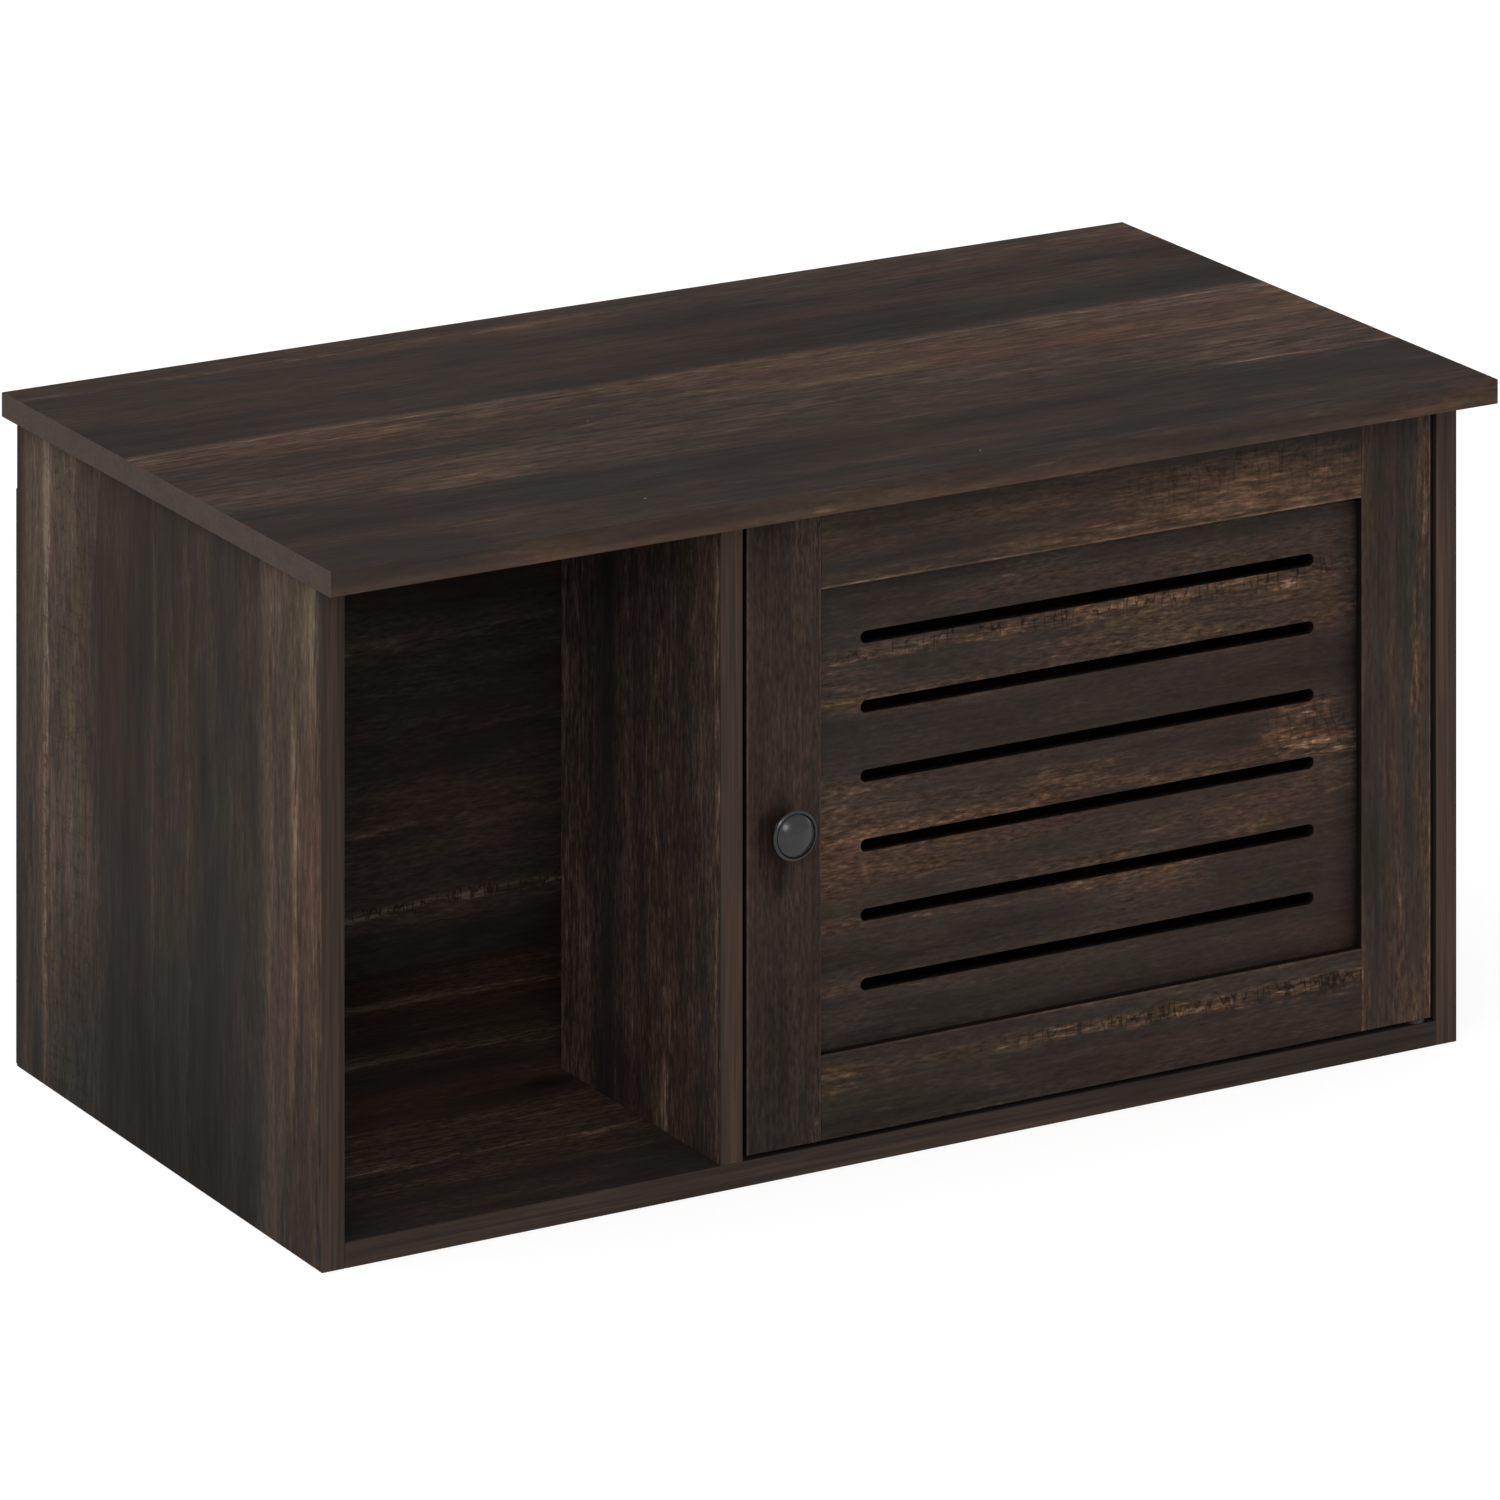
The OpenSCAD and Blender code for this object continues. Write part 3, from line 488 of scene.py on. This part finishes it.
backPrint = {
    "along": "X", "across": "Z", "seed": 7.0, "base": 0.53, "tone": (1.02, 1.0, 1.0),
    "flaky": 0.85, "fibres": 0.1, "crumbs": 1.2,
    "bands": [
        {"at": 236, "wide": 7, "lift": 0.22},
        {"at": 272, "wide": 26, "core": 10, "lift": -0.08},
        {"at": 170, "wide": 4, "lift": 0.14, "reach": (-120, 20)},
        {"at": 112, "wide": 5, "lift": 0.2, "reach": (-230, -110)},
        {"at": 104, "wide": 6, "lift": -0.2, "reach": (-260, -80)},
        {"at": 56, "wide": 5, "lift": 0.35, "cracks": 1.0},
        # painted shade: darker along the foot of the back, in the crease with the floor
        {"at": 28, "wide": 22, "core": 12, "lift": -0.2},
    ],
}
dress("back_panel", laminate("backLaminate", **backPrint))
print("cabinet boards printed")

doorTone = (1.1, 0.93, 0.79)
# near-black side faces of the door frame: a dark core, and painted shade in the door's gaps and recesses
doorCoreAndShade = (-200, -184)
paintedShadeUnderTop = ("Z", 385, 421, -0.14)          # painted shade: darker close under the top's overhang

knobStilePrint = {
    "along": "Z", "across": "X", "seed": 8.0, "base": 0.37, "tone": doorTone, "core": doorCoreAndShade,
    "flaky": 1.4, "fibres": 0.4, "crumbs": 3.0,
    "bands": [
        {"at": -108, "wide": 12, "lift": -0.08},
        {"at": -85, "wide": 12, "lift": 0.05},
    ],
    # painted shadow: the dark crescent the knob casts on the stile around its foot
    "spots": [{"at": (210, -95), "size": (44, 16), "lift": -0.42}],
    "paintedHighlightLines": [{"at": -117.4, "wide": 1.4, "lift": 0.3}, {"at": -64.4, "wide": 1.0, "lift": 0.2}],
    "shades": [paintedShadeUnderTop, ("Z", 200, 60, -0.14)],
}
dress("door_knob_stile", laminate("knobStileLaminate", **knobStilePrint))

hingeStilePrint = {
    "along": "Z", "across": "X", "seed": 9.0, "base": 0.4, "tone": doorTone, "core": doorCoreAndShade,
    "flaky": 1.2, "fibres": 0.35, "crumbs": 1.6,
    "bands": [
        {"at": 391, "wide": 8, "lift": 0.07},
        {"at": 395, "wide": 8, "lift": 0.24, "reach": (190, 420)},
        {"at": 350, "wide": 11, "core": 3, "lift": -0.14, "reach": (-120, 310)},
        {"at": 360, "wide": 14, "lift": -0.03},
    ],
    "spots": [{"at": (105, 384), "size": (75, 16), "lift": -0.12}],
    "paintedHighlightLines": [{"at": 345.2, "wide": 1.4, "lift": 0.15}, {"at": 397.9, "wide": 1.4, "lift": 0.25}],
    "shades": [paintedShadeUnderTop],
}
dress("door_hinge_stile", laminate("hingeStileLaminate", **hingeStilePrint))

topRailPrint = {
    "along": "X", "across": "Z", "seed": 10.0, "base": 0.375, "tone": doorTone, "core": doorCoreAndShade,
    "flaky": 1.4, "crumbs": 0.9,
    "bands": [{"at": 372, "wide": 11, "lift": 0.18, "reach": (-180, 500)}],
    "spots": [{"at": (260, 393), "size": (130, 24), "lift": 0.16, "cracks": 0.8}],
    "paintedHighlightLines": [{"at": 367.7, "wide": 1.6, "lift": 0.3}],
    "shades": [paintedShadeUnderTop],
}
dress("door_top_rail", laminate("topRailLaminate", **topRailPrint))

bottomRailPrint = {
    "along": "X", "across": "Z", "seed": 11.0, "base": 0.34, "tone": doorTone, "core": doorCoreAndShade,
    "flaky": 1.9, "crumbs": 1.3,
    "bands": [
        {"at": 57, "wide": 9, "lift": 0.26, "cracks": 1.2, "reach": (40, 460)},
        {"at": 68, "wide": 7, "lift": -0.09},
    ],
    "spots": [{"at": (-60, 55), "size": (60, 14), "lift": 0.15}],
    "paintedHighlightLines": [{"at": 72.4, "wide": 1.2, "lift": 0.15}],
    "shades": [("Z", 40, 22, -0.12), ("X", 130, -60, -0.07)],
}
dress("door_bottom_rail", laminate("bottomRailLaminate", **bottomRailPrint))
print("door frame printed")

# the slotted panel is cut anew, so that its slots get softly rounded edges
slotted = {
    "low": (-64, 73), "high": (344.5, 367), "front": -193.5, "thick": 6, "tongue": 7.75,
    "margin": 33, "slot": 8, "slots": 6, "slotSides": 32, "cutterLength": 24, "hair": 0.01,
    "round": 0.5, "roundSteps": 2, "smooth": 40,
}
panelPrint = {
    # near-black slot walls: a dark core, and painted shade inside the slots
    "along": "X", "across": "Z", "seed": 12.0, "base": 0.43, "tone": doorTone, "core": (-193.5, -187.5),
    "contrast": 0.9, "flaky": 1.8, "crumbs": 1.3,
    "bands": [
        {"at": 321, "wide": 9, "lift": 0.22, "cracks": 1.6, "reach": (-110, 400)},
        {"at": 266, "wide": 26, "core": 6, "lift": -0.13},
        {"at": 205, "wide": 15, "lift": 0.1},
        {"at": 184, "wide": 16, "core": 4, "lift": -0.07},
        {"at": 151, "wide": 8, "lift": 0.08},
        {"at": 125, "wide": 18, "lift": -0.12},
        {"at": 94, "wide": 20, "core": 8, "lift": -0.12},
    ],
    "spots": [
        {"at": (305, 222), "size": (48, 28), "lift": 0.28, "cracks": 0.5},
        {"at": (-54, 303), "size": (60, 18), "lift": 0.05},
        {"at": (230, 346), "size": (210, 24), "lift": -0.1},
        {"at": (212, 319), "size": (44, 9), "lift": -0.15},
        {"at": (-32, 143), "size": (60, 10), "lift": -0.12},
        {"at": (60, 212), "size": (60, 14), "lift": -0.12},
        {"at": (275, 164), "size": (90, 11), "lift": 0.1},
        {"at": (0, 134), "size": (170, 24), "lift": -0.17},
        {"at": (-35, 92), "size": (85, 20), "lift": -0.16},
    ],
    # painted shade: darker at the panel's edges, in the recesses by the hinge stile, bottom rail and top rail
    "shades": [("X", 322, 345, -0.2), ("Z", 84, 73, -0.2), ("Z", 350, 367, -0.16)],
}


def drawSlot(p, middle, depth, height, half):
    bpy.ops.mesh.primitive_cylinder_add(vertices=p["slotSides"], radius=p["slot"] / 2 * mm,
                                        depth=p["cutterLength"] * mm, rotation=(math.pi / 2, 0, 0),
                                        location=(middle * mm, depth * mm, height * mm))
    cutter = bpy.context.object
    bpy.ops.object.transform_apply()
    for way in (-1, 1):                    # pull the two ends apart, the middle corners with the right one
        bpy.ops.object.mode_set(mode="EDIT")
        bpy.ops.mesh.select_all(action="DESELECT")
        bpy.ops.object.mode_set(mode="OBJECT")
        for v in cutter.data.vertices:
            v.select = (v.co.x / mm - middle) * way > -p["hair"] * way
        bpy.ops.object.mode_set(mode="EDIT")
        bpy.ops.transform.translate(value=(way * half * mm, 0, 0))
        bpy.ops.object.mode_set(mode="OBJECT")
    return cutter


def cutPanel(p):
    (left, bottom), (right, top) = p["low"], p["high"]
    middle = (left + right) / 2
    depth = p["front"] + p["thick"] / 2
    size = (right - left + 2 * p["tongue"], p["thick"], top - bottom + 2 * p["tongue"])
    bpy.ops.mesh.primitive_cube_add(size=1, location=(middle * mm, depth * mm, (bottom + top) / 2 * mm),
                                    scale=[side * mm for side in size])
    panel = bpy.context.object
    panel.name = "slottedPanel"
    bpy.ops.object.transform_apply()

    half = (right - left) / 2 - p["margin"] - p["slot"] / 2
    low = bottom + p["margin"] + p["slot"] / 2
    pitch = (top - bottom - 2 * p["margin"] - p["slot"]) / (p["slots"] - 1)
    cutters = [drawSlot(p, middle, depth, low + n * pitch, half) for n in range(p["slots"])]
    for cutter in cutters:
        cutter.select_set(True)
    bpy.ops.object.join()
    cutter = bpy.context.object

    bpy.ops.object.select_all(action="DESELECT")
    panel.select_set(True)
    bpy.context.view_layer.objects.active = panel
    cut = panel.modifiers.new("slots", "BOOLEAN")
    cut.operation = "DIFFERENCE"
    cut.solver = "EXACT"
    cut.object = cutter
    bpy.ops.object.modifier_apply(modifier=cut.name)
    soft = panel.modifiers.new("roundedEdges", "BEVEL")
    soft.width = p["round"] * mm
    soft.segments = p["roundSteps"]
    soft.limit_method = "ANGLE"
    bpy.ops.object.modifier_apply(modifier=soft.name)
    bpy.ops.object.shade_smooth_by_angle(angle=math.radians(p["smooth"]))
    bpy.data.objects.remove(cutter)
    return panel


bpy.ops.object.select_all(action="DESELECT")
slottedPanel = cutPanel(slotted)
slottedPanel.data.materials.append(laminate("slottedPanelLaminate", **panelPrint))
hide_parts("door_slotted_panel")
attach(slottedPanel, "door")
print("slotted panel cut")

# small parts: one plain stuff with its grain, dirt and wear
surface = {
    "stained": (0.35, 0.7), "flecked": (0.62, 0.75), "rubbed": (0.4, 0.85), "fineRub": 0.3,
    "cloudDetail": 3.0, "grainDetail": 2.0, "fade": 0.6, "relief": 0.0001,
}


def stuff(name, look):
    f = Finish(name)
    s = surface
    soft = f.noise(f.place, look["cloud"], s["cloudDetail"], s["fade"])
    fine = f.noise(f.stretch(f.place, look["grain"]), 1.0, s["grainDetail"], s["fade"])
    colour = f.mix(f.step(soft, *s["stained"]), look["colour"], look["stain"])
    colour = f.mix(f.step(fine, *s["flecked"], 0.0, look["flecks"]), colour, look["fleck"])
    f.feed(f.shader.inputs["Base Color"], colour)
    rub = f.math("ADD", soft, f.math("MULTIPLY", fine, s["fineRub"]))
    f.feed(f.shader.inputs["Roughness"], f.step(rub, *s["rubbed"], *look["roughness"]))
    f.shader.inputs["Metallic"].default_value = look["metal"]
    f.shader.inputs["Specular IOR Level"].default_value = look["gloss"]
    f.bump(fine, look["bump"], s["relief"])
    return f.material


zincLook = {
    "colour": (0.42, 0.42, 0.43), "stain": (0.33, 0.33, 0.32), "fleck": (0.56, 0.56, 0.55),
    "flecks": 0.5, "cloud": 90, "grain": (900, 900, 900), "roughness": (0.3, 0.52),
    "metal": 1.0, "gloss": 0.5, "bump": 0.12,
}
steelLook = {
    "colour": (0.50, 0.50, 0.51), "stain": (0.40, 0.39, 0.38), "fleck": (0.66, 0.66, 0.66),
    "flecks": 0.4, "cloud": 70, "grain": (120, 120, 2400), "roughness": (0.2, 0.38),
    "metal": 1.0, "gloss": 0.5, "bump": 0.1,
}
nylonLook = {
    "colour": (0.022, 0.022, 0.023), "stain": (0.03, 0.03, 0.031), "fleck": (0.045, 0.045, 0.045),
    "flecks": 0.5, "cloud": 150, "grain": (1500, 1500, 1500), "roughness": (0.42, 0.6),
    "metal": 0.0, "gloss": 0.4, "bump": 0.15,
}
catchLook = {
    "colour": (0.040, 0.027, 0.020), "stain": (0.050, 0.036, 0.028), "fleck": (0.07, 0.055, 0.045),
    "flecks": 0.5, "cloud": 60, "grain": (1400, 1400, 1400), "roughness": (0.45, 0.62),
    "metal": 0.0, "gloss": 0.4, "bump": 0.25,
}
ferriteLook = {
    "colour": (0.045, 0.045, 0.05), "stain": (0.07, 0.066, 0.064), "fleck": (0.14, 0.135, 0.13),
    "flecks": 0.7, "cloud": 120, "grain": (1000, 1000, 1000), "roughness": (0.5, 0.75),
    "metal": 0.4, "gloss": 0.4, "bump": 0.3,
}
beechLook = {
    "colour": (0.52, 0.33, 0.18), "stain": (0.62, 0.42, 0.25), "fleck": (0.36, 0.2, 0.1),
    "flecks": 0.8, "cloud": 45, "grain": (180, 900, 900), "roughness": (0.55, 0.75),
    "metal": 0.0, "gloss": 0.3, "bump": 0.35,
}
for name, look, nodes in [
    ("zincPlate", zincLook, ["knob_screw", "catch_screws", "strike_plate", "strike_screw", "cam_discs",
                             "cam_bolts", "divider_screws"]),
    ("turnedSteel", steelLook, ["back_panel_nails", "upper_pivot_pin", "lower_pivot_pin",
                                "catch_pole_plates"]),
    ("blackNylon", nylonLook, ["upper_pivot_bush", "lower_pivot_bush"]),
    ("catchPlastic", catchLook, ["catch_housing"]),
    ("ferriteMagnet", ferriteLook, ["catch_magnet"]),
    ("beechDowel", beechLook, ["wooden_dowels"]),
]:
    finish = stuff(name, look)
    for node in nodes:
        dress(node, finish)
print("fittings finished")

# the knob is drawn out of a disc, ring after ring, and rides on the door
knob = {
    "at": (-91, -200, 220), "sides": 96, "smooth": 35,
    "foot": 7.5, "footRings": [(7.5, 0.7), (7.2, 1.0)],
    "waist": (5.5, 4.0), "fillet": 3, "filletTurns": (60, 35, 12),
    "rim": 16.0, "bellTop": 0.6, "bellTurns": range(8, 81, 8),
    "edge": 0.8, "edgeZ": 14.0, "edgeTurns": range(-60, 61, 15),
    "crestRings": [(14.75, 15.38), (14.4, 15.5), (14.15, 15.4), (13.8, 14.4)],
    "dome": 13.4, "domeFoot": 15.0, "height": 20.4, "domeRings": 14,
}
knobLook = {
    "colour": (0.013, 0.013, 0.013), "stain": (0.017, 0.017, 0.017), "fleck": (0.03, 0.03, 0.03),
    "flecks": 0.25, "cloud": 60, "grain": (1200, 1200, 1200), "roughness": (0.22, 0.28),
    "metal": 0.0, "gloss": 0.8, "bump": 0.04,
}


def arc(turn):                             # cosine and sine of an angle in degrees
    return math.cos(math.radians(turn)), math.sin(math.radians(turn))


def knobRings(k):                          # radius and height of each ring, in millimetres
    waist, low = k["waist"]
    fillet, edge = k["fillet"], k["edge"]
    reach = k["rim"] - edge
    bell = k["edgeZ"] - edge - k["bellTop"] - low
    rings = list(k["footRings"])
    rings += [(waist + fillet * (1 - c), low - fillet * s) for c, s in map(arc, k["filletTurns"])]
    rings += [(reach - (reach - waist) * c, low + bell * s) for c, s in map(arc, k["bellTurns"])]
    rings += [(reach + edge * c, k["edgeZ"] + edge * s) for c, s in map(arc, k["edgeTurns"])]
    rings += k["crestRings"]
    rise = k["height"] - k["domeFoot"]
    curve = (k["dome"] ** 2 + rise * rise) / (2 * rise)
    full = math.degrees(math.asin(k["dome"] / curve))
    for n in range(k["domeRings"], 0, -1):
        c, s = arc(full * n / k["domeRings"])
        rings.append((curve * s, k["height"] - curve * (1 - c)))
    return rings


def drawKnob(k):
    x, y, z = (value * mm for value in k["at"])
    bpy.ops.mesh.primitive_circle_add(vertices=k["sides"], radius=k["foot"] * mm, fill_type="NGON",
                                      location=(x, y, z), rotation=(math.pi / 2, 0, 0))
    piece = bpy.context.object
    piece.name = "doorKnob"
    bpy.ops.object.transform_apply()
    bpy.ops.object.mode_set(mode="EDIT")
    bpy.ops.mesh.select_all(action="SELECT")
    radius, height = k["foot"], 0.0
    for nextRadius, nextHeight in knobRings(k):
        bpy.ops.mesh.extrude_region_move(TRANSFORM_OT_translate={"value": (0, (height - nextHeight) * mm, 0)})
        share = nextRadius / radius
        bpy.ops.transform.resize(value=(share, 1, share), center_override=(x, y - nextHeight * mm, z))
        radius, height = nextRadius, nextHeight
    bpy.ops.mesh.poke()
    bpy.ops.mesh.select_all(action="SELECT")
    bpy.ops.mesh.normals_make_consistent(inside=False)
    bpy.ops.object.mode_set(mode="OBJECT")
    bpy.ops.object.shade_smooth_by_angle(angle=math.radians(k["smooth"]))
    return piece


bpy.ops.object.select_all(action="DESELECT")
doorKnob = drawKnob(knob)
doorKnob.data.materials.append(stuff("satinBlack", knobLook))
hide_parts("door_knob")
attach(doorKnob, "door")
print("knob drawn")
